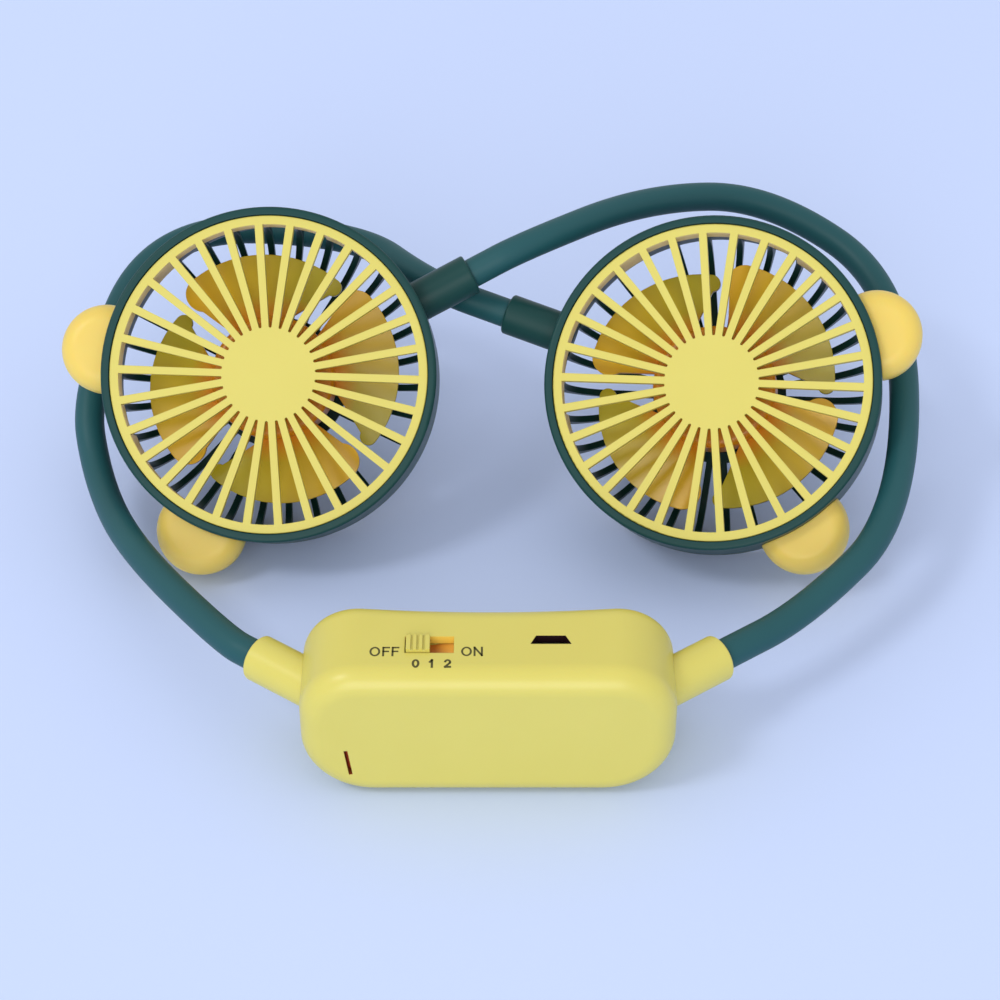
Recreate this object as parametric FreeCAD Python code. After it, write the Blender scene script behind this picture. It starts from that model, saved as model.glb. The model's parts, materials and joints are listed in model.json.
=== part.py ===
import FreeCAD, Part
import math
import os

V = FreeCAD.Vector

# Battery box, mm. The origin is the middle of its underside, X across, Y towards the neck, Z up.
box_width = 79.8
box_depth = 26.1
box_height = 35.3
box_top_corner_share = 0.3654
box_bottom_corner_share = 0.4363
box_edge_radius = 5.0
box_wall = 2.0
neck_side_hollow = 2.5

# Cover on the neck side
cover_thickness = 3.0
cover_clearance = 0.15
cover_boss_radius = 2.6
cover_boss_sink = 0.3
cover_boss_low_angle = -25.0
cover_boss_high_angle = 58.0
cover_screw_sink = 0.4

# Screws
screw_radius = 1.0
screw_head_radius = 1.9
screw_head_height = 1.2
cover_screw_length = 7.0
screw_hole_clearance = 0.15
pilot_clearance = 0.02

# Lithium cell, which fills the depth between the front wall and the cover
cell_clearance = 0.2
cell_end_room = 15.15
cell_button_radius = 3.0
cell_button_height = 1.0
cradle_thickness = 2.0
cradle_height = 4.5
cradle_spacing = 30.0

# Circuit board, upright behind the switch and screwed to posts on the front wall
board_end_room = 12.4
board_top_gap = 1.8
board_cell_gap = 0.6
board_thickness = 1.2
board_part_gap = 0.3
board_post_radius = 2.0
board_post_inset = 2.6
board_screw_length = 5.0

# Speed switch: off, low and high along X
switch_end_room = 22.7
switch_front_room = 10.65
switch_step = 2.4
switch_places = 3
switch_drop = 6.8
knob_length = 5.0
knob_width = 4.4
knob_rise = 1.0
knob_clearance = 0.25
knob_ribs = 4
knob_rib_depth = 0.45
knob_rib_width = 0.5
knob_flange_thickness = 1.0
knob_flange_overlap = 0.9
knob_stem_width = 2.0
switch_body_length = 13.0
switch_body_width = 6.0
switch_top_gap = 1.35
switch_pocket_share = 0.62

# Charging inlet
inlet_end_room = 26.7
inlet_front_room = 12.15
inlet_opening_length = 8.6
inlet_opening_width = 2.5
inlet_opening_taper = 1.2
inlet_shell_margin = 0.5
inlet_shell_wall = 0.4
inlet_shell_gap = 0.2
inlet_floor = 1.6
inlet_tongue_thickness = 0.6
inlet_tongue_gap = 1.0

# Charging light behind its slit in the front wall
slit_end_room = 10.1
slit_z = 10.7
slit_width = 0.8
slit_length = 7.2
slit_tilt = 7.0
light_margin_side = 0.8
light_margin_end = 0.8
light_depth = 1.6
light_clearance = 0.05

# Collars at the ends of the box and the anchors inside
collar_radius = 5.2
collar_reach = 10.3
collar_exit_share = 0.3755
collar_height_share = 0.561
collar_sweep = 35.0
collar_length = 19.2
collar_lip_radius = 0.6
collar_hole_clearance = 0.05
anchor_wall = 1.49848
anchor_thickness = 2.6

# Goosenecks
neck_radius = 3.5
neck_bore_clearance = 0.10
neck_socket_clearance = 0.06
neck_arc_share = 0.45
neck_end_lead = 1.0
# Each neck runs straight out of its collar, round the head on its side and straight into the other socket.
# Its corners are given from the centre of the head it passes, as shares of the housing radius.
right_neck_collar_run = 22.0
right_neck_corners = [
    (1.217, -0.425, -0.500),
    (1.192, 1.059, -0.040),
    (0.373, 1.660, 0.216),
    (-0.496, 1.366, 0.370),
]
right_neck_socket_run = 14.0
left_neck_collar_run = 16.5
left_neck_corners = [
    (-1.067, -0.182, -0.762),
    (-1.207, 0.560, -0.442),
    (-0.708, 1.430, 0.108),
    (0.417, 1.442, -0.020),
]
left_neck_socket_run = 20.0

# Fan heads: place of each face, tilt of its normal above level, turn of its normal, direction of its socket
left_head_beyond_box = 11.4
left_head_behind_box = 66.05
left_head_tilt = 42.3
left_head_turn = -1.5
left_head_socket_angle = 28.9
left_impeller_angle = 10.5
right_head_beyond_box = 11.5
right_head_behind_box = 63.55
right_head_tilt = 44.8
right_head_turn = -12.5
right_head_socket_angle = 167.8
right_impeller_angle = 3.0
head_rest_clearance = 0.05

# Head housing
housing_radius = 39.1
housing_wall = 2.9
housing_rim_width = 2.05
housing_lip = 0.3
housing_lip_radius = 0.7
housing_side_depth = 17.0
housing_shoulder_radius = 13.0
housing_back_thickness = 2.0
rear_rib_width = 1.5
rear_slot_hub_margin = 2.5
rear_slot_edge_margin = 1.5
rear_slot_rise = 4.5

# Sleeve on the housing that takes the end of a neck
socket_radius = 4.85
socket_stand = 13.8
socket_depth = 12.0
socket_bore_length = 9.0
socket_wire_radius = 1.6
socket_edge_radius = 0.5
socket_seat_clearance = 0.05

# Front grille
grille_seat_clearance = 0.15
grille_thickness = 2.2
grille_ring_width = 2.1
grille_spokes = 30
spoke_width_outer = 1.85
spoke_width_inner = 1.68
grille_disc_share = 0.31
grille_edge_radius = 0.3
skirt_thickness = 0.95
skirt_depth = 3.8
skirt_clearance = 0.15
tab_count = 5
tab_angle = 10.0
tab_depth = 4.6
tab_hook = 0.5
tab_hook_height = 1.3
tab_hook_clearance = 0.1

# Ears
ear_radius = 10.5
ear_stand = 0.5
ear_thickness = 11.0
ear_depth = 9.0
ear_edge_radius = 4.4
ear_spread = 37.5
ear_seat_clearance = 0.05
ear_tenon_width = 8.0
ear_tenon_height = 4.0
ear_tenon_length = 2.2
ear_tenon_root = 1.0
ear_tenon_clearance = 0.1

# Impeller
hub_share = 0.4
hub_front = 8.0
hub_depth = 11.0
hub_wall = 1.3
hub_face = 2.0
hub_edge_radius = 1.6
hub_boss_radius = 3.2
hub_boss_length = 3.0
blade_count = 4
blade_thickness = 1.5
blade_front = 8.4
blade_drop = 9.0
blade_tip_gap = 6.3
blade_sections = 9
blade_spare_angle = 4.0
# Comma outline of a blade: shares of the tip radius, and angles clockwise from the direction of its lobe
blade_tip_angle = -1.0
blade_lobe_share = 0.760
blade_lobe_angle = -8.5
blade_lobe_round_share = 0.964
blade_lobe_round_angle = -7.0
blade_lead_root_angle = -4.0
blade_back_share = 0.985
blade_back_angle = 40.0
blade_tail_outer_share = 0.935
blade_tail_inner_share = 0.800
blade_tail_round_share = 0.868
blade_tail_angle = 70.5
blade_tail_round_angle = 4.0
blade_waist_share = 0.625
blade_waist_angle = 62.0
blade_trail_root_angle = 47.0

# Motor
motor_hub_gap = 1.1
motor_front = 13.6
motor_edge_radius = 0.8
motor_cup_clearance = 0.1
motor_cup_wall = 1.4
motor_cup_height = 6.0
shaft_radius = 1.0
shaft_front = 9.0
shaft_end_gap = 1.0
bush_radius = 3.0
bush_length = 2.5
bush_clearance = 0.03
shaft_tunnel_radius = 1.6
motor_screw_share = 0.667
motor_screw_length = 4.5

FULL_TURN = 360.0
OVERRUN = 1.0
TOUCH = 1e-4
X_AXIS = V(1, 0, 0)
Y_AXIS = V(0, 1, 0)
Z_AXIS = V(0, 0, 1)
ORIGIN = V(0, 0, 0)

# Sizes that follow from those above
box_front = -box_depth / 2
box_back = box_depth / 2
box_end = box_width / 2
box_top_corner_radius = box_top_corner_share * box_height
box_bottom_corner_radius = box_bottom_corner_share * box_height
ceiling = box_height - box_wall
hollow_radius = (box_end ** 2 + neck_side_hollow ** 2) / (2 * neck_side_hollow)
hollow_centre_y = box_back - neck_side_hollow + hollow_radius
cell_length = box_width - 2 * cell_end_room
cell_radius = (box_depth - box_wall - neck_side_hollow - cover_thickness) / 2 - cell_clearance
cell_y = box_front + box_wall + cell_clearance + cell_radius
cell_z = box_wall + cell_clearance + cell_radius
switch_x = -box_end + switch_end_room
switch_y = box_front + switch_front_room
switch_travel = switch_step * (switch_places - 1)
slot_length = knob_length + switch_travel + 2 * knob_clearance
slot_width = knob_width + 2 * knob_clearance
slot_start_x = switch_x - knob_clearance
knob_middle_x = switch_x + knob_length / 2
flange_top = ceiling - knob_clearance
flange_bottom = flange_top - knob_flange_thickness
switch_bottom = ceiling - switch_drop
switch_top = flange_bottom - switch_top_gap
switch_pocket_floor = switch_top - switch_pocket_share * (switch_top - switch_bottom)
inlet_x = box_end - inlet_end_room
inlet_y = box_front + inlet_front_room
slit_x = -box_end + slit_end_room
board_length = box_width - 2 * board_end_room
board_front = switch_y + switch_body_width / 2 + board_part_gap
board_back = board_front + board_thickness
board_low = cell_z + cell_radius + board_cell_gap
board_high = ceiling - board_top_gap
board_post_x = board_length / 2 - board_post_inset
board_post_z = (board_low + board_high) / 2
board_post_places = [(-board_post_x, board_post_z), (board_post_x, board_post_z)]
collar_exit_x = box_end + collar_reach
collar_exit_y = collar_exit_share * box_depth
collar_axis_z = collar_height_share * box_height
anchor_radius = neck_radius + anchor_wall
housing_bore = housing_radius - housing_wall
grille_radius = housing_radius - housing_rim_width
back_plane = -(housing_side_depth + housing_shoulder_radius)
inner_back = back_plane + housing_back_thickness
shoulder_radius = housing_radius - housing_shoulder_radius
socket_reach = housing_radius + socket_stand
spoke_pitch = FULL_TURN / grille_spokes
grille_disc_radius = grille_disc_share * housing_bore
skirt_radius = housing_bore - skirt_clearance
hook_top = -grille_thickness - skirt_depth - tab_depth + tab_hook_height
hub_radius = hub_share * housing_bore
blade_tip_radius = housing_bore - blade_tip_gap
motor_radius = hub_radius - hub_wall - motor_hub_gap
motor_cup_bore = motor_radius + motor_cup_clearance
motor_cup_radius = motor_cup_bore + motor_cup_wall
motor_screw_radius = motor_screw_share * motor_radius
rear_slot_inner_radius = motor_cup_radius + rear_slot_hub_margin
rear_slot_outer_radius = housing_radius - rear_slot_edge_margin

os.makedirs("parts", exist_ok=True)


def save(node, shape):
    shape.exportStep("parts/" + node + ".step")
    print(node, len(shape.Solids), round(shape.Volume, 2), shape.isValid())


def polar(radius, degrees, z=0.0):
    angle = math.radians(degrees)
    return V(radius * math.cos(angle), radius * math.sin(angle), z)


def upright(radius, degrees):
    # The same in the front view of the box
    angle = math.radians(degrees)
    return V(radius * math.cos(angle), 0, radius * math.sin(angle))


def block(low, high):
    size = V(*high) - V(*low)
    return Part.makeBox(size.x, size.y, size.z, V(*low))


def rod(radius, start, end):
    run = end - start
    return Part.makeCylinder(radius, run.Length, start, run)


def tube(radius, bore, low, high):
    return revolved([(bore, low), (radius, low), (radius, high), (bore, high)])


def arc(start, middle, end):
    return Part.Arc(start, middle, end).toShape()


def line(start, end):
    return Part.LineSegment(start, end).toShape()


def edges_at(shape, axis, level):
    found = []
    for edge in shape.Edges:
        box = edge.BoundBox
        low, high = {"x": (box.XMin, box.XMax), "y": (box.YMin, box.YMax), "z": (box.ZMin, box.ZMax)}[axis]
        if abs(low - level) < TOUCH and abs(high - level) < TOUCH:
            found.append(edge)
    return found


def revolved(profile):
    # Closed outline of (radius, z) points and (radius, z, radius, z) arcs, turned about Z
    edges = []
    first = V(profile[0][0], 0, profile[0][1])
    here = first
    for step in profile[1:]:
        there = V(step[-2], 0, step[-1])
        if len(step) == 2:
            edges.append(line(here, there))
        else:
            edges.append(arc(here, V(step[0], 0, step[1]), there))
        here = there
    edges.append(line(here, first))
    return Part.Face(Part.Wire(edges)).revolve(ORIGIN, Z_AXIS, FULL_TURN)


def corner_arc_middle(centre, radius, radial, axial):
    offset = radius * math.sqrt(0.5)
    return (centre[0] + radial * offset, centre[1] + axial * offset)


def screw(length):
    # Countersunk screw with its flat head at z = 0 and its point down -Z
    return revolved([
        (0, 0),
        (screw_head_radius, 0),
        (screw_radius, -screw_head_height),
        (screw_radius, -length + screw_radius),
        (0, -length),
    ])


def screw_holes(through):
    # Countersink and clearance hole in the piece that is held
    cone = Part.makeCone(screw_head_radius + screw_hole_clearance, screw_radius + screw_hole_clearance,
                         screw_head_height, ORIGIN, -Z_AXIS)
    return cone.fuse(Part.makeCylinder(screw_radius + screw_hole_clearance, through, ORIGIN, -Z_AXIS))


def screw_pilot(length):
    # Hole for the thread in the piece that holds
    return Part.makeCylinder(screw_radius + pilot_clearance, length + screw_radius, ORIGIN, -Z_AXIS)


def driven(shape, position, lean):
    # A screw or its holes at its head's place, turned about X
    copy = shape.copy()
    copy.rotate(ORIGIN, X_AXIS, lean)
    copy.translate(position)
    return copy


FROM_NECK_SIDE = -90.0
FROM_BACK_OF_HEAD = 180.0


# Battery box
def front_outline(inset, y):
    # Front view of the box: a rounded rectangle with larger corners below
    top = box_top_corner_radius - inset
    bottom = box_bottom_corner_radius - inset
    half = box_end - inset
    corners = [
        (half - bottom, inset + bottom, bottom, -90),
        (half - top, box_height - inset - top, top, 0),
        (-half + top, box_height - inset - top, top, 90),
        (-half + bottom, inset + bottom, bottom, 180),
    ]
    arcs = []
    for x, z, radius, start in corners:
        arcs.append([V(x, y, z) + upright(radius, start + turn) for turn in (0, 45, 90)])
    edges = []
    for here, after in zip(arcs, arcs[1:] + arcs[:1]):
        edges.append(arc(*here))
        edges.append(line(here[-1], after[0]))
    return Part.Face(Part.Wire(edges))


def hollow_form(thickness):
    # Space on the neck side of the hollow face, or of a face that lies deeper by a thickness
    return Part.makeCylinder(hollow_radius + thickness, 3 * box_height, V(0, hollow_centre_y, -box_height))


def hollow_y(x):
    return hollow_centre_y - math.sqrt(hollow_radius ** 2 - x ** 2)


def box_form():
    form = front_outline(0, box_front).extrude(V(0, box_depth + neck_side_hollow, 0)).cut(hollow_form(0))
    neck_side = [edge for edge in form.Edges if edge.BoundBox.YMin > 0]
    return form.makeFillet(box_edge_radius, edges_at(form, "y", box_front) + neck_side)


def box_cavity():
    front = box_front + box_wall
    cavity = front_outline(box_wall, front).extrude(V(0, box_depth + neck_side_hollow, 0))
    return cavity.makeFillet(box_edge_radius - box_wall, edges_at(cavity, "y", front))


def cover_screw_places():
    # Head of each cover screw: near the lower and upper corners of the box
    places = []
    for radius, z, angle in (
        (box_bottom_corner_radius, box_bottom_corner_radius, cover_boss_low_angle),
        (box_top_corner_radius, box_height - box_top_corner_radius, cover_boss_high_angle),
    ):
        offset = upright(radius - box_wall - cover_boss_radius + cover_boss_sink, angle)
        for side in (-1, 1):
            x = side * (box_end - radius + offset.x)
            places.append(V(x, hollow_y(x) - cover_screw_sink, z + offset.z))
    return places


def collar_frame(side):
    # Exit of a collar and its outward direction
    exit_point = V(side * collar_exit_x, collar_exit_y, collar_axis_z)
    direction = polar(1, collar_sweep)
    return exit_point, V(side * direction.x, direction.y, 0)


def inlet_opening(low, high):
    half = inlet_opening_length / 2
    depth = inlet_opening_width / 2
    narrow = half - inlet_opening_taper
    points = [(-half, -depth), (half, -depth), (narrow, depth), (-narrow, depth)]
    corners = [V(inlet_x + x, inlet_y + y, low) for x, y in points]
    return Part.Face(Part.makePolygon(corners + corners[:1])).extrude(V(0, 0, high - low))


def slit_block(width, length, near, far):
    shape = block((-width / 2, near, -length / 2), (width / 2, far, length / 2))
    shape.rotate(ORIGIN, Y_AXIS, -slit_tilt)
    shape.translate(V(slit_x, 0, slit_z))
    return shape


def cell_form(clearance):
    return rod(cell_radius + clearance, V(-box_width, cell_y, cell_z), V(box_width, cell_y, cell_z))


def make_box_shell():
    inner_front = box_front + box_wall
    shell = box_form().cut(box_cavity())
    bosses = []
    for head in cover_screw_places():
        foot = V(head.x, inner_front - box_wall / 2, head.z)
        boss = rod(cover_boss_radius, foot, V(head.x, box_back, head.z))
        bosses.append(boss.cut(hollow_form(cover_thickness)))
    for x, z in board_post_places:
        bosses.append(rod(board_post_radius, V(x, inner_front - box_wall / 2, z), V(x, board_front, z)))
    for side in (-1, 1):
        middle = side * cradle_spacing / 2
        rib = block((middle - cradle_thickness / 2, inner_front - box_wall / 2, box_wall / 2),
                    (middle + cradle_thickness / 2, cell_y, box_wall + cradle_height))
        bosses.append(rib.cut(cell_form(cell_clearance)))
    shell = shell.fuse([boss.common(box_form()) for boss in bosses])
    cutters = [driven(screw_pilot(cover_screw_length), head, FROM_NECK_SIDE) for head in cover_screw_places()]
    for x, z in board_post_places:
        cutters.append(driven(screw_pilot(board_screw_length), V(x, board_back, z), FROM_NECK_SIDE))
    cutters.append(block((slot_start_x, switch_y - slot_width / 2, ceiling - OVERRUN),
                         (slot_start_x + slot_length, switch_y + slot_width / 2, box_height + OVERRUN)))
    cutters.append(inlet_opening(ceiling - OVERRUN, box_height + OVERRUN))
    cutters.append(slit_block(slit_width, slit_length, box_front - OVERRUN, inner_front + OVERRUN))
    for side in (-1, 1):
        exit_point, direction = collar_frame(side)
        inner_end = exit_point - direction * collar_length
        cutters.append(rod(collar_radius + collar_hole_clearance, inner_end, exit_point))
    return shell.cut(cutters).removeSplitter()


def make_box_cover():
    plate = front_outline(box_wall + cover_clearance, 0).extrude(V(0, box_depth, 0))
    cover = plate.common(box_form()).common(hollow_form(cover_thickness))
    cutters = []
    for head in cover_screw_places():
        cutters.append(driven(screw_holes(cover_thickness), head, FROM_NECK_SIDE))
        cutters.append(rod(screw_head_radius + screw_hole_clearance, head, head + Y_AXIS * cover_thickness))
    return cover.cut(cutters).removeSplitter()


def make_cover_screws():
    return Part.makeCompound([driven(screw(cover_screw_length), head, FROM_NECK_SIDE)
                              for head in cover_screw_places()])


def make_cell():
    left_end = V(-cell_length / 2, cell_y, cell_z)
    right_end = V(cell_length / 2, cell_y, cell_z)
    shoulder = right_end - X_AXIS * cell_button_height
    return rod(cell_radius, left_end, shoulder).fuse(rod(cell_button_radius, shoulder, right_end))


def make_board():
    board = block((-board_length / 2, board_front, board_low), (board_length / 2, board_back, board_high))
    cutters = []
    for x, z in board_post_places:
        cutters.append(driven(screw_holes(board_thickness), V(x, board_back, z), FROM_NECK_SIDE))
    return board.cut(cutters)


def make_board_screws():
    return Part.makeCompound([driven(screw(board_screw_length), V(x, board_back, z), FROM_NECK_SIDE)
                              for x, z in board_post_places])


def make_switch_body():
    middle = slot_start_x + slot_length / 2
    body = block((middle - switch_body_length / 2, switch_y - switch_body_width / 2, switch_bottom),
                 (middle + switch_body_length / 2, switch_y + switch_body_width / 2, switch_top))
    half_stem = knob_stem_width / 2 + knob_clearance
    pocket = block((knob_middle_x - half_stem, switch_y - half_stem, switch_pocket_floor),
                   (knob_middle_x + half_stem + switch_travel, switch_y + half_stem, switch_top + OVERRUN))
    return body.cut(pocket)


def make_switch_knob():
    top = box_height + knob_rise
    knob = block((switch_x, switch_y - knob_width / 2, flange_bottom),
                 (switch_x + knob_length, switch_y + knob_width / 2, top))
    grooves = []
    for index in range(1, knob_ribs):
        x = switch_x + index * knob_length / knob_ribs
        grooves.append(block((x - knob_rib_width / 2, switch_y - knob_width, top - knob_rib_depth),
                             (x + knob_rib_width / 2, switch_y + knob_width, top + OVERRUN)))
    flange_half = slot_width / 2 + knob_flange_overlap
    flange = block((slot_start_x - knob_flange_overlap, switch_y - flange_half, flange_bottom),
                   (switch_x + slot_length + knob_flange_overlap, switch_y + flange_half, flange_top))
    stem = block((knob_middle_x - knob_stem_width / 2, switch_y - knob_stem_width / 2,
                  switch_pocket_floor + knob_clearance),
                 (knob_middle_x + knob_stem_width / 2, switch_y + knob_stem_width / 2, flange_bottom))
    return knob.cut(grooves).fuse([flange, stem]).removeSplitter()


def make_inlet():
    top = ceiling - inlet_shell_gap
    half = inlet_opening_length / 2 + inlet_shell_margin
    depth = inlet_opening_width / 2 + inlet_shell_margin
    floor = switch_bottom + inlet_floor
    shell = block((inlet_x - half, inlet_y - depth, switch_bottom), (inlet_x + half, inlet_y + depth, top))
    mouth = block((inlet_x - half + inlet_shell_wall, inlet_y - depth + inlet_shell_wall, floor),
                  (inlet_x + half - inlet_shell_wall, inlet_y + depth - inlet_shell_wall, top + OVERRUN))
    tongue = block((inlet_x - half / 2, inlet_y - inlet_tongue_thickness / 2, floor),
                   (inlet_x + half / 2, inlet_y + inlet_tongue_thickness / 2, top - inlet_tongue_gap))
    return shell.cut(mouth).fuse(tongue).removeSplitter()


def make_light():
    near = box_front + box_wall + light_clearance
    return slit_block(slit_width + 2 * light_margin_side, slit_length + 2 * light_margin_end,
                      near, near + light_depth)


def make_collar(side):
    exit_point, direction = collar_frame(side)
    start = exit_point - direction * collar_length
    body = rod(collar_radius, start, exit_point)
    lip = [edge for edge in body.Edges if (edge.CenterOfMass - exit_point).Length < TOUCH]
    body = body.makeFillet(collar_lip_radius, lip)
    return body.cut(rod(neck_radius + neck_bore_clearance, start - direction, exit_point + direction))


def make_anchor(side):
    exit_point, direction = collar_frame(side)
    seat = exit_point - direction * collar_length
    end = seat - direction * anchor_thickness
    bore = rod(neck_radius + neck_bore_clearance, end - direction, seat + direction)
    return rod(anchor_radius, end, seat).cut(bore)


# Fan heads, built about their own axis: Z is the face normal, X points along the socket
def head_rest_height(tilt):
    # Height of the face centre when the round shoulder touches the table
    angle = math.radians(tilt)
    hang = shoulder_radius * math.cos(angle) + housing_side_depth * math.sin(angle)
    return hang + housing_shoulder_radius + head_rest_clearance


def head_matrix(x, y, tilt, turn, socket_angle):
    tilt_angle = math.radians(tilt)
    turn_angle = math.radians(turn)
    level_share = math.cos(tilt_angle)
    normal = V(math.sin(turn_angle) * level_share, -math.cos(turn_angle) * level_share, math.sin(tilt_angle))
    level = Z_AXIS.cross(normal).normalize()
    rise = normal.cross(level)
    angle = math.radians(socket_angle)
    socket = level * math.cos(angle) + rise * math.sin(angle)
    across = normal.cross(socket)
    place = V(x, y, head_rest_height(tilt))
    return FreeCAD.Matrix(socket.x, across.x, normal.x, place.x,
                          socket.y, across.y, normal.y, place.y,
                          socket.z, across.z, normal.z, place.z,
                          0, 0, 0, 1)


def radial_slot(inner, outer, width_inner, width_outer, low, high, round_end):
    # Gap between two spokes, centred on +X
    half_pitch = math.radians(spoke_pitch / 2)
    outer_half = outer * math.sin(half_pitch - math.asin(width_outer / 2 / outer))
    outer_x = math.sqrt(outer ** 2 - outer_half ** 2)
    inner_half = inner * math.sin(half_pitch - math.asin(width_inner / 2 / inner))
    inner_x = math.sqrt(inner ** 2 - inner_half ** 2)
    inner_right = V(inner_x, -inner_half, low)
    outer_right = V(outer_x, -outer_half, low)
    outer_left = V(outer_x, outer_half, low)
    inner_left = V(inner_x, inner_half, low)
    edges = [
        line(inner_right, outer_right),
        arc(outer_right, V(outer, 0, low), outer_left),
        line(outer_left, inner_left),
    ]
    if round_end:
        edges.append(arc(inner_left, V(inner_x - inner_half, 0, low), inner_right))
    else:
        edges.append(line(inner_left, inner_right))
    return Part.Face(Part.Wire(edges)).extrude(V(0, 0, high - low))


def around(shape, count, start=0.0):
    copies = []
    for index in range(count):
        copy = shape.copy()
        copy.rotate(ORIGIN, Z_AXIS, start + index * FULL_TURN / count)
        copies.append(copy)
    return copies


def at_ear(shape, side):
    copy = shape.copy()
    copy.rotate(ORIGIN, Z_AXIS, FULL_TURN / 2 + side * ear_spread)
    return copy


def ear_tenon(margin):
    half_width = ear_tenon_width / 2 + margin
    half_height = ear_tenon_height / 2 + margin
    return block((housing_radius - ear_tenon_length - margin, -half_width, -ear_depth - half_height),
                 (housing_radius + ear_seat_clearance + ear_tenon_root, half_width, -ear_depth + half_height))


def motor_screw_places():
    return [V(0, side * motor_screw_radius, back_plane) for side in (-1, 1)]


def housing_profile():
    lip_inner = grille_radius + grille_seat_clearance
    lip_centre = (housing_radius - housing_lip_radius, housing_lip - housing_lip_radius)
    shoulder_centre = (shoulder_radius, -housing_side_depth)
    diagonal = math.sqrt(0.5)
    inner_middle = (shoulder_radius + diagonal * (housing_bore - shoulder_radius),
                    -housing_side_depth - diagonal * (housing_shoulder_radius - housing_back_thickness))
    groove = housing_bore + tab_hook + tab_hook_clearance
    groove_top = hook_top + tab_hook_clearance
    groove_bottom = hook_top - tab_hook_height - tab_hook_clearance
    return [
        (lip_inner, housing_lip),
        (housing_radius - housing_lip_radius, housing_lip),
        corner_arc_middle(lip_centre, housing_lip_radius, 1, 1) + (housing_radius, lip_centre[1]),
        (housing_radius, -housing_side_depth),
        corner_arc_middle(shoulder_centre, housing_shoulder_radius, 1, -1) + (shoulder_radius, back_plane),
        (0, back_plane),
        (0, inner_back),
        (shoulder_radius, inner_back),
        inner_middle + (housing_bore, -housing_side_depth),
        (housing_bore, groove_bottom),
        (groove, groove_bottom),
        (groove, groove_top),
        (housing_bore, groove_top),
        (housing_bore, -grille_thickness),
        (lip_inner, -grille_thickness),
    ]


def make_housing():
    slot = radial_slot(rear_slot_inner_radius, rear_slot_outer_radius, rear_rib_width, rear_rib_width,
                       back_plane - OVERRUN, rear_slot_rise - housing_side_depth, False)
    shell = revolved(housing_profile()).cut(around(slot, grille_spokes))
    shell = shell.fuse(tube(motor_cup_radius, motor_cup_bore, inner_back, inner_back + motor_cup_height))
    cutters = [rod(socket_radius + socket_seat_clearance, V(housing_bore - housing_wall, 0, -socket_depth),
                   V(socket_reach, 0, -socket_depth))]
    cutters += [at_ear(ear_tenon(ear_tenon_clearance), side) for side in (-1, 1)]
    for place in motor_screw_places():
        cutters.append(driven(screw_holes(housing_back_thickness), place, FROM_BACK_OF_HEAD))
    return shell.cut(cutters).removeSplitter()


def make_socket():
    inner = V(housing_bore, 0, -socket_depth)
    mouth = V(socket_reach, 0, -socket_depth)
    sleeve = rod(socket_radius, inner, mouth)
    sleeve = sleeve.makeFillet(socket_edge_radius, edges_at(sleeve, "x", socket_reach))
    bore = rod(neck_radius + neck_socket_clearance, mouth - X_AXIS * socket_bore_length, mouth + X_AXIS)
    return sleeve.cut([bore, rod(socket_wire_radius, inner - X_AXIS, mouth)])


def make_grille():
    disc = Part.makeCylinder(grille_radius, grille_thickness, V(0, 0, -grille_thickness))
    disc = disc.makeFillet(grille_edge_radius, edges_at(disc, "z", 0))
    ring_inner = grille_radius - grille_ring_width
    slot = radial_slot(grille_disc_radius, ring_inner, spoke_width_inner, spoke_width_outer,
                       -grille_thickness - OVERRUN, OVERRUN, True)
    disc = disc.cut(around(slot, grille_spokes))
    skirt_inner = skirt_radius - skirt_thickness
    skirt_bottom = -grille_thickness - skirt_depth
    skirt = tube(skirt_radius, skirt_inner, skirt_bottom, -grille_thickness)
    hook_bottom = hook_top - tab_hook_height
    tab_profile = Part.makePolygon([
        V(skirt_inner, 0, skirt_bottom),
        V(skirt_radius, 0, skirt_bottom),
        V(skirt_radius, 0, hook_top),
        V(housing_bore + tab_hook, 0, hook_top),
        V(skirt_radius, 0, hook_bottom),
        V(skirt_inner, 0, hook_bottom),
        V(skirt_inner, 0, skirt_bottom),
    ])
    tab = Part.Face(tab_profile).revolve(ORIGIN, Z_AXIS, tab_angle)
    tabs = around(tab, tab_count, (FULL_TURN - tab_angle) / 2)
    return disc.fuse([skirt] + tabs).removeSplitter()


def make_ear(side):
    disc = Part.makeCylinder(ear_radius, ear_thickness,
                             V(housing_radius + ear_stand, 0, -ear_depth - ear_thickness / 2))
    disc = disc.makeFillet(ear_edge_radius, [edge for edge in disc.Edges if edge.isClosed()])
    seat = Part.makeCylinder(housing_radius + ear_seat_clearance, 2 * ear_thickness,
                             V(0, 0, -ear_depth - ear_thickness))
    return at_ear(disc.cut(seat).fuse(ear_tenon(0)).removeSplitter(), side)


def blade_plan():
    root = hub_radius - hub_wall / 2
    lead_root = polar(root, -blade_lead_root_angle)
    lobe = polar(blade_lobe_share * blade_tip_radius, -blade_lobe_angle)
    lobe_round = polar(blade_lobe_round_share * blade_tip_radius, -blade_lobe_round_angle)
    tip = polar(blade_tip_radius, -blade_tip_angle)
    back = polar(blade_back_share * blade_tip_radius, -blade_back_angle)
    tail_outer = polar(blade_tail_outer_share * blade_tip_radius, -blade_tail_angle)
    tail_end = polar(blade_tail_round_share * blade_tip_radius, -blade_tail_angle - blade_tail_round_angle)
    tail_inner = polar(blade_tail_inner_share * blade_tip_radius, -blade_tail_angle)
    waist = polar(blade_waist_share * blade_tip_radius, -blade_waist_angle)
    trail_root = polar(root, -blade_trail_root_angle)
    root_middle = polar(root, -(blade_lead_root_angle + blade_trail_root_angle) / 2)
    return Part.Face(Part.Wire([
        line(lead_root, lobe),
        arc(lobe, lobe_round, tip),
        arc(tip, back, tail_outer),
        arc(tail_outer, tail_end, tail_inner),
        arc(tail_inner, waist, trail_root),
        arc(trail_root, root_middle, lead_root),
    ]))


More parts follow.
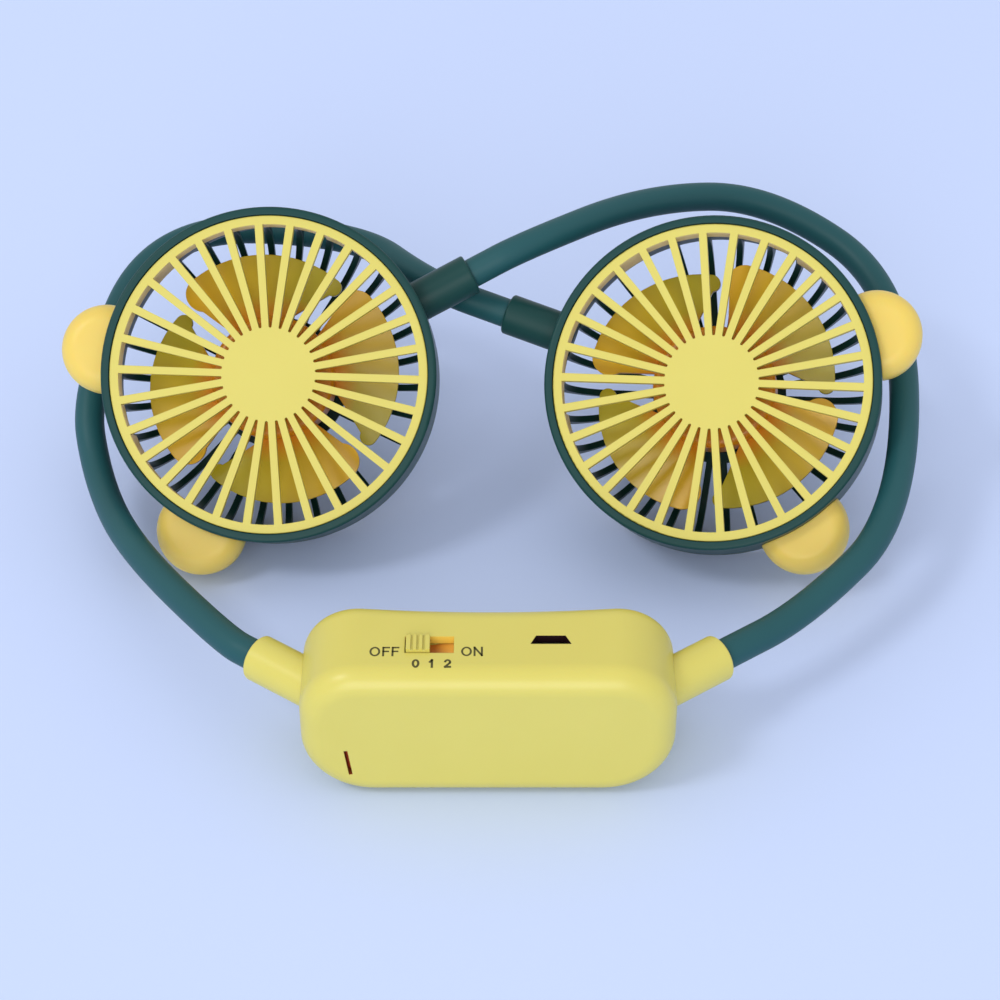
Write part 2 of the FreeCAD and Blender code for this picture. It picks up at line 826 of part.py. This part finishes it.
def make_blade():
    # Helical slab cut to the comma outline: the lobe is nearest the grille, the tail deepest
    inner = hub_radius - hub_wall
    outer = blade_tip_radius + blade_thickness
    first = blade_spare_angle - blade_lobe_angle
    span = first + blade_tail_angle + blade_tail_round_angle + blade_spare_angle
    sections = []
    for index in range(blade_sections):
        share = index / (blade_sections - 1)
        angle = first - share * span
        high = -blade_front - share * blade_drop
        low = high - blade_thickness
        corners = [polar(inner, angle, high), polar(outer, angle, high), polar(outer, angle, low),
                   polar(inner, angle, low)]
        sections.append(Part.makePolygon(corners + corners[:1]))
    slab = Part.makeLoft(sections, True, False)
    plan = blade_plan()
    plan.translate(V(0, 0, back_plane))
    return slab.common(plan.extrude(V(0, 0, -back_plane)))


def make_impeller():
    front = -hub_front
    centre = (hub_radius - hub_edge_radius, front - hub_edge_radius)
    inner = hub_radius - hub_wall
    inside = front - hub_face
    hub = revolved([
        (0, front),
        (hub_radius - hub_edge_radius, front),
        corner_arc_middle(centre, hub_edge_radius, 1, 1) + (hub_radius, front - hub_edge_radius),
        (hub_radius, front - hub_depth),
        (inner, front - hub_depth),
        (inner, inside),
        (hub_boss_radius, inside),
        (hub_boss_radius, inside - hub_boss_length),
        (shaft_radius, inside - hub_boss_length),
        (shaft_radius, -shaft_front),
        (0, -shaft_front),
    ])
    return hub.fuse(around(make_blade(), blade_count)).removeSplitter()


bush_lows = (-motor_front - bush_length, inner_back + shaft_end_gap)


def make_motor():
    can = Part.makeCylinder(motor_radius, -motor_front - inner_back, V(0, 0, inner_back))
    can = can.makeFillet(motor_edge_radius, edges_at(can, "z", -motor_front))
    tunnel_low = inner_back + shaft_end_gap / 2
    cutters = [Part.makeCylinder(shaft_tunnel_radius, -motor_front - tunnel_low, V(0, 0, tunnel_low))]
    cutters += [Part.makeCylinder(bush_radius, bush_length, V(0, 0, low)) for low in bush_lows]
    pilot = screw_pilot(motor_screw_length)
    cutters += [driven(pilot, place, FROM_BACK_OF_HEAD) for place in motor_screw_places()]
    return can.cut(cutters)


def make_shaft():
    low = inner_back + shaft_end_gap
    return Part.makeCylinder(shaft_radius, -shaft_front - low, V(0, 0, low))


def make_bushes():
    bore = shaft_radius + bush_clearance
    return Part.makeCompound([tube(bush_radius, bore, low, low + bush_length) for low in bush_lows])


def make_motor_screws():
    return Part.makeCompound([driven(screw(motor_screw_length), place, FROM_BACK_OF_HEAD)
                              for place in motor_screw_places()])


# Goosenecks
def rounded_route(points):
    # Straight runs joined by tangent arcs, each as large as its two runs allow
    edges = []
    here = points[0]
    for before, corner, after in zip(points, points[1:], points[2:]):
        inward = corner - before
        outward = after - corner
        trim = neck_arc_share * min(inward.Length, outward.Length)
        turn = inward.getAngle(outward)
        radius = trim / math.tan(turn / 2)
        start = corner - inward.normalize() * trim
        end = corner + outward.normalize() * trim
        towards = (start + end) * 0.5 - corner
        centre = corner + towards * ((radius / math.cos(turn / 2)) / towards.Length)
        middle = centre + (corner - centre).normalize() * radius
        edges.append(line(here, start))
        edges.append(arc(start, middle, end))
        here = end
    edges.append(line(here, points[-1]))
    return edges


def neck_tube(edges):
    path = Part.Wire(edges)
    start = edges[0].Vertexes[0].Point
    direction = edges[0].tangentAt(edges[0].FirstParameter)
    section = Part.Wire(Part.makeCircle(neck_radius, start, direction))
    print("  length", round(path.Length, 1))
    return path.makePipeShell([section], True, False)


def split_route(edges, station):
    # The straight stretch that holds the station is cut there
    for index, edge in enumerate(edges):
        if edge.Curve.TypeId == "Part::GeomLine" and edge.distToShape(Part.Vertex(station))[0] < TOUCH:
            start, end = [vertex.Point for vertex in edge.Vertexes]
            return edges[:index] + [line(start, station)], [line(station, end)] + edges[index + 1:]


def make_neck(side, collar_run, corners, passed_head, socket_run, held_head):
    exit_point, direction = collar_frame(side)
    leave = exit_point + direction * collar_run
    start = exit_point - direction * (collar_length + anchor_thickness + neck_end_lead)
    centre = passed_head.multVec(ORIGIN)
    inside = socket_reach - socket_bore_length + neck_socket_clearance
    socket_end = held_head.multVec(V(inside, 0, -socket_depth))
    approach = held_head.multVec(V(socket_reach + socket_run, 0, -socket_depth))
    passing = [centre + V(*corner) * housing_radius for corner in corners]
    route = [start, leave] + passing + [approach, socket_end]
    station = (route[1] + route[2]) * 0.5
    root_edges, arm_edges = split_route(rounded_route(route), station)
    return neck_tube(root_edges), neck_tube(arm_edges)


# Build and write every piece
save("box_shell", make_box_shell())
save("box_cover", make_box_cover())
save("cover_screws", make_cover_screws())
save("battery_cell", make_cell())
save("circuit_board", make_board())
save("board_screws", make_board_screws())
save("switch_body", make_switch_body())
save("switch_knob", make_switch_knob())
save("charging_inlet", make_inlet())
save("charging_light", make_light())

head_pieces = {
    "housing": make_housing(),
    "neck_socket": make_socket(),
    "front_grille": make_grille(),
    "ear_a": make_ear(1),
    "ear_b": make_ear(-1),
    "motor": make_motor(),
    "motor_bushes": make_bushes(),
    "motor_screws": make_motor_screws(),
}
turning_pieces = {"impeller": make_impeller(), "motor_shaft": make_shaft()}
left_head = head_matrix(-box_end - left_head_beyond_box, box_back + left_head_behind_box,
                        left_head_tilt, left_head_turn, left_head_socket_angle)
right_head = head_matrix(box_end + right_head_beyond_box, box_back + right_head_behind_box,
                         right_head_tilt, right_head_turn, right_head_socket_angle)
for name, matrix, impeller_angle in (
    ("left", left_head, left_impeller_angle),
    ("right", right_head, right_impeller_angle),
):
    pose = FreeCAD.Placement(matrix)
    spin = FreeCAD.Placement(ORIGIN, FreeCAD.Rotation(Z_AXIS, impeller_angle))
    for piece, shape in head_pieces.items():
        copy = shape.copy()
        copy.Placement = pose.multiply(shape.Placement)
        save(name + "_" + piece, copy)
    for piece, shape in turning_pieces.items():
        copy = shape.copy()
        copy.Placement = pose.multiply(spin)
        save(name + "_" + piece, copy)

for name, side, collar_run, corners, passed_head, socket_run, held_head in (
    ("right", 1, right_neck_collar_run, right_neck_corners, right_head, right_neck_socket_run, left_head),
    ("left", -1, left_neck_collar_run, left_neck_corners, left_head, left_neck_socket_run, right_head),
):
    save(name + "_collar", make_collar(side))
    save(name + "_neck_anchor", make_anchor(side))
    root, arm = make_neck(side, collar_run, corners, passed_head, socket_run, held_head)
    save(name + "_neck_root", root)
    save(name + "_neck", arm)
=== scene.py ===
import json
import math

import bpy
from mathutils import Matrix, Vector


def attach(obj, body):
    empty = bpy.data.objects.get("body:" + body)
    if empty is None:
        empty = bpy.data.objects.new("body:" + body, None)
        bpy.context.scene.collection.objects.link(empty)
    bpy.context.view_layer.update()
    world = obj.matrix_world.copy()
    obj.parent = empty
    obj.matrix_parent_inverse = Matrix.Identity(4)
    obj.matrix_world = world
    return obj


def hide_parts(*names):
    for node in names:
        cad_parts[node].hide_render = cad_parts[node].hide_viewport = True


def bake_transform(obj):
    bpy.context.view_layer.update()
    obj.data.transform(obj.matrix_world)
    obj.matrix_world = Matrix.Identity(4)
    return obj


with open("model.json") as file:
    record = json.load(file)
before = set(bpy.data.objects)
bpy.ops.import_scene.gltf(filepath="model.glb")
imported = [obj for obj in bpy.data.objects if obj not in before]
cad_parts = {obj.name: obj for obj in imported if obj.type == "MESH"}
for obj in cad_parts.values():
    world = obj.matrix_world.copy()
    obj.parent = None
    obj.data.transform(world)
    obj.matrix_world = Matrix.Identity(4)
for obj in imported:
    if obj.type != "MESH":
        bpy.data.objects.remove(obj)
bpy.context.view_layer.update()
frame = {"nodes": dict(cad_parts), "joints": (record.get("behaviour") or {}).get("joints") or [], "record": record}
nodes = frame["nodes"]
joints = {joint["name"]: joint for joint in frame["joints"]}

MM = 0.001
SIDES = ("left", "right")

# Camera at the photograph's viewing angle, in mm and degrees
camera_place = (2.5, -380.4, 399.2)
camera_pitch = 40.6
camera_lens = 90.0
camera_sensor = 36.0

# Necks: the solids' route in mm, moved by about 2 mm at most to follow the photograph. Corners are shares of
# the housing radius from the head that the neck passes.
neck_radius = 3.5
neck_sides = 40
neck_order = 3
neck_steps = 24
collar_exit = (50.2, 9.8, 19.8)
collar_sweep = 35.0
collar_inside = 22.8
housing_radius = 39.1
socket_depth = 12.0
socket_reach = 52.9
socket_bore_length = 8.9
neck_routes = {
    "right": {
        "side": 1,
        "collar_run": 24.0,
        "corners": [
            (1.127, -0.617, -0.500),
            (1.262, 1.014, -0.040),
            (0.453, 1.647, 0.216),
            (-0.340, 1.394, 0.370),
        ],
        "socket_run": 14.0,
        "passes": "right",
        "ends_at": "left",
        "flex_end": 41.0,
    },
    "left": {
        "side": -1,
        "collar_run": 9.0,
        "corners": [
            (-0.800, -0.769, -0.698),
            (-1.084, -0.072, -0.762),
            (-1.193, 0.414, -0.442),
            (-0.813, 1.384, 0.108),
            (0.458, 1.509, -0.020),
        ],
        "socket_run": 20.0,
        "passes": "left",
        "ends_at": "right",
        "flex_end": 45.0,
    },
}

# Top of the box and its markings, in mm
box_top = 35.3
box_front = -13.05
box_edge_radius = 5.0
mark_lift = 0.03
mark_step = 0.2
arc_steps = 36
same_point = 1e-6
off_line = -4.5
on_line = -4.45
digit_line = -8.0
word = {"height": 2.8, "stroke": 0.42}
digit = {"height": 2.4, "stroke": 0.48}
marks = [
    {"name": "off_o", "glyph": "O", "x": -23.65, "y": off_line, "width": 2.25, **word},
    {"name": "off_f1", "glyph": "F", "x": -21.30, "y": off_line, "width": 1.60, **word},
    {"name": "off_f2", "glyph": "F", "x": -19.35, "y": off_line, "width": 1.60, **word},
    {"name": "on_o", "glyph": "O", "x": -4.50, "y": on_line, "width": 2.25, **word},
    {"name": "on_n", "glyph": "N", "x": -2.05, "y": on_line, "width": 1.95, **word},
    {"name": "digit_0", "glyph": "O", "x": -15.05, "y": digit_line, "width": 1.60, **digit},
    {"name": "digit_1", "glyph": "1", "x": -11.80, "y": digit_line, "width": 1.05, **digit},
    {"name": "digit_2", "glyph": "2", "x": -8.40, "y": digit_line, "width": 1.50, **digit},
]

# Openings in the box, in mm: middle and half size of the space each one takes up
inlet_space = ((13.2, -0.9, 34.3), (4.6, 1.6, 0.98))
switch_space = ((-12.3, -2.4, 34.3), (5.3, 2.6, 0.98))
slit_space = ((-29.8, -12.05, 10.7), (1.4, 0.98, 4.0))
hollow_space = ((-9.5, -2.4, 33.0), (2.9, 2.6, 1.0))
# Painted shadow of the knob across the hollow: darkest at the first x, gone at the second, in mm
painted_shadow_dark_x = -11.2
painted_shadow_light_x = -7.4

# Faces chosen by their direction: cosines of the angle to an axis
facing_least = 0.9
beside_most = 0.3
inwards_least = 0.5

# Grille: the ring starts beyond this radius, in mm
ring_wall_radius = 32.0

# Blades: depths behind the front plane over which painted golden light gives way to olive painted shade, and the
# ring around the hub that gets a painted orange glow, in mm
blade_front = 8.4
painted_gold_end = 15.5
painted_glow_start = 15.0
painted_glow_end = 20.0

# Finish of moulded surfaces: noise is given per metre, the reach of scattered light in metres
tint_scale = 55.0
tint_detail = 2.0
gloss_scale = 240.0
gloss_detail = 3.0
gloss_spread = 0.05
grain_detail = 4.0
grain_strength = 0.35
edge_samples = 6
scatter_reach = (0.0030, 0.0016, 0.0004)

# Finish of metal
wear_scale = 900.0
wear_detail = 3.0
wear_spread = 0.08

# Sockets of the node that mixes two colours
MIX_FACTOR = 0
MIX_UNDER = 6
MIX_OVER = 7
MIX_RESULT = 2

# Stage: sizes and places in metres, power in watts
floor_half = 3.0
floor_colour = (199, 214, 250)
floor_roughness = 0.75
floor_specular = 0.2
sky_tint = (0.97, 0.98, 1.0, 1.0)
sky_strength = 0.82
light_aim = (0.0, 0.06, 0.02)
lights = [
    {"name": "key", "place": (-2.20, -1.10, 3.18), "size": 0.9, "power": 30.0},
    {"name": "front_fill", "place": (-0.51, -3.58, 1.62), "size": 2.4, "power": 64.0},
]


# Materials
def linear(channel):
    # A channel as it is seen, 0 to 255, as an amount of light
    value = channel / 255
    return value / 12.92 if value <= 0.04045 else ((value + 0.055) / 1.055) ** 2.4


def colour(red, green, blue):
    return (linear(red), linear(green), linear(blue), 1.0)


def new_material(name):
    material = bpy.data.materials.new(name)
    material.use_nodes = True
    tree = material.node_tree
    tree.nodes.clear()
    output = tree.nodes.new("ShaderNodeOutputMaterial")
    shader = tree.nodes.new("ShaderNodeBsdfPrincipled")
    tree.links.new(shader.outputs["BSDF"], output.inputs["Surface"])
    return material, tree, shader


def noise(tree, scale, detail, coordinates):
    node = tree.nodes.new("ShaderNodeTexNoise")
    node.inputs["Scale"].default_value = scale
    node.inputs["Detail"].default_value = detail
    tree.links.new(coordinates.outputs["Object"], node.inputs["Vector"])
    return node.outputs["Fac"]


def around(tree, source, middle, spread):
    # Turns 0 to 1 into a range that lies evenly about a middle value
    node = tree.nodes.new("ShaderNodeMapRange")
    node.inputs["To Min"].default_value = middle - spread
    node.inputs["To Max"].default_value = middle + spread
    tree.links.new(source, node.inputs["Value"])
    return node.outputs["Result"]


def ramp(tree, source, start, end):
    # 0 at start, 1 at end
    node = tree.nodes.new("ShaderNodeMapRange")
    node.inputs["From Min"].default_value = start
    node.inputs["From Max"].default_value = end
    tree.links.new(source, node.inputs["Value"])
    return node.outputs["Result"]


def blend_colours(tree, under, over, factor):
    # Lays one colour over another by a factor; under is a colour or the result of another blend
    mix = tree.nodes.new("ShaderNodeMix")
    mix.data_type = "RGBA"
    if isinstance(under, tuple):
        mix.inputs[MIX_UNDER].default_value = under
    else:
        tree.links.new(under, mix.inputs[MIX_UNDER])
    mix.inputs[MIX_OVER].default_value = over
    tree.links.new(factor, mix.inputs[MIX_FACTOR])
    return mix.outputs[MIX_RESULT]


def vector_step(tree, operation, source, constant):
    node = tree.nodes.new("ShaderNodeVectorMath")
    node.operation = operation
    tree.links.new(source, node.inputs[0])
    node.inputs[1].default_value = constant
    return node


def from_point(tree, coordinates, centre):
    return vector_step(tree, "SUBTRACT", coordinates.outputs["Object"], centre).outputs["Vector"]


def along_axis(tree, vector, axis):
    return vector_step(tree, "DOT_PRODUCT", vector, axis).outputs["Value"]


def from_axis(tree, vector, axis):
    turned = vector_step(tree, "CROSS_PRODUCT", vector, axis)
    length = tree.nodes.new("ShaderNodeVectorMath")
    length.operation = "LENGTH"
    tree.links.new(turned.outputs["Vector"], length.inputs[0])
    return length.outputs["Value"]


def moulded(name, base, deep, roughness, grain=2600.0, grain_depth=0.02, edge=0.25, soft=0.0, specular=0.45,
            layers=()):
    # Moulded surface: slow change of tint, uneven gloss, fine grain and slightly rounded edges.
    # The depth of the grain and the radius of the edges are in mm.
    material, tree, shader = new_material(name)
    coordinates = tree.nodes.new("ShaderNodeTexCoord")
    paint_colour = blend_colours(tree, base, deep, noise(tree, tint_scale, tint_detail, coordinates))
    for over, factor in layers:
        paint_colour = blend_colours(tree, paint_colour, over, factor(tree, coordinates))
    tree.links.new(paint_colour, shader.inputs["Base Color"])
    gloss = noise(tree, gloss_scale, gloss_detail, coordinates)
    tree.links.new(around(tree, gloss, roughness, gloss_spread), shader.inputs["Roughness"])
    rounded = tree.nodes.new("ShaderNodeBevel")
    rounded.samples = edge_samples
    rounded.inputs["Radius"].default_value = edge * MM
    bump = tree.nodes.new("ShaderNodeBump")
    bump.inputs["Strength"].default_value = grain_strength
    bump.inputs["Distance"].default_value = grain_depth * MM
    tree.links.new(noise(tree, grain, grain_detail, coordinates), bump.inputs["Height"])
    tree.links.new(rounded.outputs["Normal"], bump.inputs["Normal"])
    tree.links.new(bump.outputs["Normal"], shader.inputs["Normal"])
    shader.inputs["Specular IOR Level"].default_value = specular
    shader.inputs["Subsurface Weight"].default_value = soft
    shader.inputs["Subsurface Radius"].default_value = scatter_reach
    return material


def metal(name, base, roughness):
    material, tree, shader = new_material(name)
    coordinates = tree.nodes.new("ShaderNodeTexCoord")
    shader.inputs["Base Color"].default_value = base
    shader.inputs["Metallic"].default_value = 1.0
    wear = noise(tree, wear_scale, wear_detail, coordinates)
    tree.links.new(around(tree, wear, roughness, wear_spread), shader.inputs["Roughness"])
    return material


def head_axis(side):
    return Vector(joints[side + "_fan_spin"]["axis"])


def head_centre(side):
    # Middle of a head's front plane, in metres
    return Vector(joints[side + "_head_turn"]["pos_m"]) + head_axis(side) * socket_depth * MM


def blade_material(side):
    # Thin yellow plastic with painted light and shade: the deep tails are olive as painted shade, the lobes in
    # front are painted golden, and a painted orange glow lies around the hub
    centre = head_centre(side)
    axis = head_axis(side)

    # Painted light: the blade turns golden towards the front of the head
    def painted_front_light(tree, coordinates):
        depth = along_axis(tree, from_point(tree, coordinates, centre), axis)
        return ramp(tree, depth, -painted_gold_end * MM, -blade_front * MM)

    # Painted glow: the blade turns orange near the hub
    def painted_hub_glow(tree, coordinates):
        distance = from_axis(tree, from_point(tree, coordinates, centre), axis)
        return ramp(tree, distance, painted_glow_end * MM, painted_glow_start * MM)

    layers = [(colour(224, 174, 26), painted_front_light), (colour(234, 150, 30), painted_hub_glow)]
    return moulded("yellow_blade_" + side, colour(198, 184, 32), colour(190, 174, 26),
                   roughness=0.30, soft=0.10, layers=layers)


def painted_knob_shadow(tree, coordinates):
    # Painted shadow of the knob: the hollow beside the knob is painted darkest next to the knob, lighter away from
    # it
    distance = along_axis(tree, coordinates.outputs["Object"], Vector((1, 0, 0)))
    return ramp(tree, distance, painted_shadow_dark_x * MM, painted_shadow_light_x * MM)


yellow_shell = moulded("yellow_shell", colour(211, 200, 101), colour(207, 195, 94),
                       roughness=0.34, edge=0.3, soft=0.06)
yellow_grille = moulded("yellow_grille", colour(211, 199, 99), colour(207, 194, 93),
                        roughness=0.42, edge=0.22, soft=0.06)
yellow_ear = moulded("yellow_ear", colour(230, 202, 100), colour(226, 195, 90),
                     roughness=0.40, grain=2200.0, grain_depth=0.03, edge=0.4, soft=0.30)
blades = {side: blade_material(side) for side in SIDES}
dark_green = moulded("dark_green", colour(24, 66, 64), colour(20, 60, 59),
                     roughness=0.38, grain=3000.0, edge=0.5, specular=0.2)
neck_green = moulded("neck_green", colour(34, 84, 89), colour(30, 78, 84),
                     roughness=0.46, grain=3400.0, grain_depth=0.04, edge=0.0, specular=0.25)
board_green = moulded("board_green", colour(28, 104, 60), colour(22, 90, 52), roughness=0.40, grain=1800.0)
cell_sleeve = moulded("cell_sleeve", colour(70, 110, 178), colour(60, 98, 166), roughness=0.30, grain=1200.0)
light_red = moulded("light_red", colour(206, 84, 44), colour(186, 66, 36),
                    roughness=0.25, grain=1200.0, grain_depth=0.01)
ink = moulded("mark_ink", colour(86, 82, 46), colour(78, 74, 42),
              roughness=0.60, grain=5200.0, grain_depth=0.01, edge=0.0, specular=0.2)
# Painted shade: the walls of the charging opening are nearly black-red where shade falls in the recess
inlet_painted_shade = moulded("inlet_painted_shade", colour(40, 18, 22), colour(34, 14, 18),
                     roughness=0.55, edge=0.0, specular=0.2)
# Painted shade: the walls of the light's slit are dark red-brown where shade falls deep in the slit
slit_painted_shade = moulded("slit_painted_shade", colour(160, 84, 40), colour(146, 70, 32),
                    roughness=0.50, edge=0.0, specular=0.2)
# Painted glow: the inside of each grille's ring is paler than the grille, standing in for light through the thin
# plastic
grille_wall_painted_glow = moulded("grille_wall_painted_glow", colour(246, 226, 160), colour(240, 216, 146),
                      roughness=0.42, edge=0.0, soft=0.06)
# Painted glow: the walls of the switch slot are a warmer, brighter gold than the shell, standing in for light
# through the thin wall
switch_wall_painted_glow = moulded("switch_wall_painted_glow", colour(240, 208, 92), colour(234, 198, 80), roughness=0.42, edge=0.0)
# Painted shade: the knob's flange in the hollow is amber, fading to a lighter gold where the painted shadow of the
# knob ends
knob_flange_painted_shade = moulded("knob_flange_painted_shade", colour(176, 100, 24), colour(166, 90, 20), roughness=0.42, edge=0.0,
                       layers=[(colour(238, 178, 76), painted_knob_shadow)])
steel = metal("steel", colour(188, 188, 192), 0.32)
bronze = metal("bronze", colour(176, 138, 82), 0.42)

slot_materials = {
    "shell": yellow_shell,
    "grille": yellow_grille,
    "ear": yellow_ear,
    "blade": blades["left"],
    "green": dark_green,
    "neck": neck_green,
    "board": board_green,
    "cell": cell_sleeve,
    "steel": steel,
    "bronze": bronze,
    "light": light_red,
}


def paint(obj, material):
    obj.data.materials.clear()
    obj.data.materials.append(material)


for subpart in frame["record"]["subparts"]:
    paint(nodes[subpart["node"]], slot_materials[subpart["material_slot"]])
paint(nodes["right_impeller"], blades["right"])


def add_object(name, data):
    obj = bpy.data.objects.new(name, data)
    bpy.context.scene.collection.objects.link(obj)
    return obj


# Necks: one smooth tube each, from inside the collar to inside the head socket
def neck_points(route):
    side = route["side"]
    exit_point = Vector((side * collar_exit[0], collar_exit[1], collar_exit[2])) * MM
    sweep = math.radians(collar_sweep)
    outward = Vector((side * math.cos(sweep), math.sin(sweep), 0))
    passed = head_centre(route["passes"])
    joint = joints[route["ends_at"] + "_head_turn"]
    socket = Vector(joint["pos_m"])
    along = Vector(joint["axis"])
    mouth = socket_reach * MM
    points = [
        exit_point - outward * collar_inside * MM,
        exit_point,
        exit_point + outward * route["collar_run"] * MM,
    ]
    points += [passed + Vector(corner) * housing_radius * MM for corner in route["corners"]]
    points += [
        socket + along * (mouth + route["socket_run"] * MM),
        socket + along * mouth,
        socket + along * (mouth - socket_bore_length * MM),
    ]
    return points


def neck_tube(name, points):
    curve = bpy.data.curves.new(name + "_line", "CURVE")
    curve.dimensions = "3D"
    spline = curve.splines.new("NURBS")
    spline.points.add(len(points) - 1)
    for place, point in zip(spline.points, points):
        place.co = (*point, 1.0)
    spline.order_u = neck_order
    spline.use_endpoint_u = True
    spline.resolution_u = neck_steps
    curve.bevel_depth = neck_radius * MM
    curve.bevel_resolution = neck_sides // 4 - 1
    curve.use_fill_caps = True
    holder = add_object(name + "_line", curve)
    bpy.context.view_layer.update()
    shown = holder.evaluated_get(bpy.context.evaluated_depsgraph_get())
    mesh = bpy.data.meshes.new_from_object(shown)
    bpy.data.objects.remove(holder)
    for polygon in mesh.polygons:
        polygon.use_smooth = True
    return add_object(name, mesh)


for name, route in neck_routes.items():
    tube = neck_tube(name + "_neck_tube", neck_points(route))
    paint(tube, neck_green)
    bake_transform(tube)
    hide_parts(name + "_neck_root", name + "_neck")


# Walls of the openings in the box, the hollow beside the knob, and the inside of each grille's ring, repainted
# with painted light and shade: painted shade in the charging opening and the light's slit, a painted shadow of the
# knob in the hollow, and a painted glow on the switch slot's walls and the grille rings' inner walls
def repaint(obj, material, chosen):
    index = len(obj.data.materials)
    obj.data.materials.append(material)
    for polygon in obj.data.polygons:
        if chosen(polygon.center, polygon.normal):
            polygon.material_index = index


def in_space(space, axis, facing):
    # Chooses faces inside a space: those that look along an axis, or the walls beside it
    middle = Vector(space[0]) * MM
    half = Vector(space[1]) * MM

    def chosen(centre, normal):
        offset = centre - middle
        inside = all(abs(offset[i]) <= half[i] for i in range(3))
        along = abs(normal[axis])
        return inside and (along > facing_least if facing else along < beside_most)

    return chosen


def ring_wall(side):
    # Chooses the faces of a grille's ring that look inwards, which get a painted glow
    middle = head_centre(side)
    axis = head_axis(side)

    def chosen(centre, normal):
        offset = centre - middle
        outwards = offset - axis * offset.dot(axis)
        in_ring = outwards.length > ring_wall_radius * MM
        return in_ring and -normal.dot(outwards.normalized()) > inwards_least

    return chosen


repaint(nodes["box_shell"], inlet_painted_shade, in_space(inlet_space, axis=2, facing=False))
repaint(nodes["box_shell"], switch_wall_painted_glow, in_space(switch_space, axis=2, facing=False))
repaint(nodes["box_shell"], slit_painted_shade, in_space(slit_space, axis=1, facing=False))
repaint(nodes["switch_knob"], knob_flange_painted_shade, in_space(hollow_space, axis=2, facing=True))
for side in SIDES:
    repaint(nodes[side + "_front_grille"], grille_wall_painted_glow, ring_wall(side))


# Markings beside the switch, drawn in strokes on the top and over its rounded front edge
def arc(centre, radii, start, end):
    angles = [math.radians(start + (end - start) * i / arc_steps) for i in range(arc_steps + 1)]
    return [(centre[0] + radii[0] * math.cos(angle), centre[1] + radii[1] * math.sin(angle))
            for angle in angles]


# Strokes of each glyph in a square of side 1
bowl = arc((0.5, 0.70), (0.5, 0.30), 165, -35)
glyphs = {
    "O": [arc((0.5, 0.5), (0.5, 0.5), 0, 360)],
    "F": [[(0, 0), (0, 1)], [(0, 1), (1, 1)], [(0, 0.52), (0.84, 0.52)]],
    "N": [[(0, 0), (0, 1)], [(0, 1), (1, 0)], [(1, 0), (1, 1)]],
    "1": [[(0.75, 0), (0.75, 1)], [(0.75, 1), (0, 0.72)]],
    "2": [bowl, [bowl[-1], (0, 0)], [(0, 0), (1, 0)]],
}


def surface_height(y):
    # Height of the top of the box, which falls away over its rounded front edge
    over = max(0.0, box_front + box_edge_radius - y)
    return box_top - box_edge_radius + math.sqrt(box_edge_radius ** 2 - over ** 2)


def in_steps(points):
    # The same line with a point at least every mark_step
    line = [points[0]]
    for start, end in zip(points, points[1:]):
        count = max(1, math.ceil((end - start).length / mark_step))
        line += [start.lerp(end, i / count) for i in range(1, count + 1)]
    return line


def ribbon(points, stroke, vertices, faces):
    # A flat band along a line: closed if the line is, with square ends otherwise
    closed = (points[0] - points[-1]).length < same_point
    half = stroke / 2
    if not closed:
        points[0] = points[0] + (points[0] - points[1]).normalized() * half
        points[-1] = points[-1] + (points[-1] - points[-2]).normalized() * half
    line = in_steps(points)
    first = len(vertices)
    for i, point in enumerate(line):
        before = line[i - 1] if i else (line[-2] if closed else point)
        after = line[i + 1] if i + 1 < len(line) else (line[1] if closed else point)
        run = (after - before).normalized()
        aside = Vector((-run.y, run.x)) * half
        for place in (point + aside, point - aside):
            vertices.append((place.x * MM, place.y * MM, (surface_height(place.y) + mark_lift) * MM))
        if i:
            corner = first + 2 * i
            faces.append((corner - 2, corner - 1, corner + 1, corner))


def marking(mark):
    vertices = []
    faces = []
    width = mark["width"] - mark["stroke"]
    height = mark["height"] - mark["stroke"]
    for stroke in glyphs[mark["glyph"]]:
        points = [Vector((mark["x"] + (u - 0.5) * width, mark["y"] + (v - 0.5) * height)) for u, v in stroke]
        ribbon(points, mark["stroke"], vertices, faces)
    mesh = bpy.data.meshes.new("mark_" + mark["name"])
    mesh.from_pydata(vertices, [], faces)
    obj = add_object("mark_" + mark["name"], mesh)
    paint(obj, ink)
    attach(obj, "box")


for mark in marks:
    marking(mark)

# Stage
floor_corners = [(x * floor_half, y * floor_half, 0) for x, y in ((-1, -1), (1, -1), (1, 1), (-1, 1))]
floor_mesh = bpy.data.meshes.new("floor")
floor_mesh.from_pydata(floor_corners, [], [(0, 1, 2, 3)])
floor = add_object("floor", floor_mesh)
floor_paint, floor_tree, floor_shader = new_material("floor_paint")
floor_shader.inputs["Base Color"].default_value = colour(*floor_colour)
floor_shader.inputs["Roughness"].default_value = floor_roughness
floor_shader.inputs["Specular IOR Level"].default_value = floor_specular
paint(floor, floor_paint)

world = bpy.data.worlds.new("studio")
bpy.context.scene.world = world
world.use_nodes = True
sky = world.node_tree.nodes["Background"]
sky.inputs["Color"].default_value = sky_tint
sky.inputs["Strength"].default_value = sky_strength

for light in lights:
    lamp = bpy.data.lights.new(light["name"], "AREA")
    lamp.size = light["size"]
    lamp.energy = light["power"]
    holder = add_object(light["name"], lamp)
    holder.location = light["place"]
    holder.rotation_euler = (Vector(light_aim) - Vector(light["place"])).to_track_quat("-Z", "Y").to_euler()

camera_data = bpy.data.cameras.new("camera")
camera_data.lens = camera_lens
camera_data.sensor_width = camera_sensor
camera = add_object("camera", camera_data)
camera.location = Vector(camera_place) * MM
camera.rotation_euler = (math.radians(90.0 - camera_pitch), 0, 0)
bpy.context.scene.camera = camera
bpy.context.scene.view_settings.view_transform = "Standard"
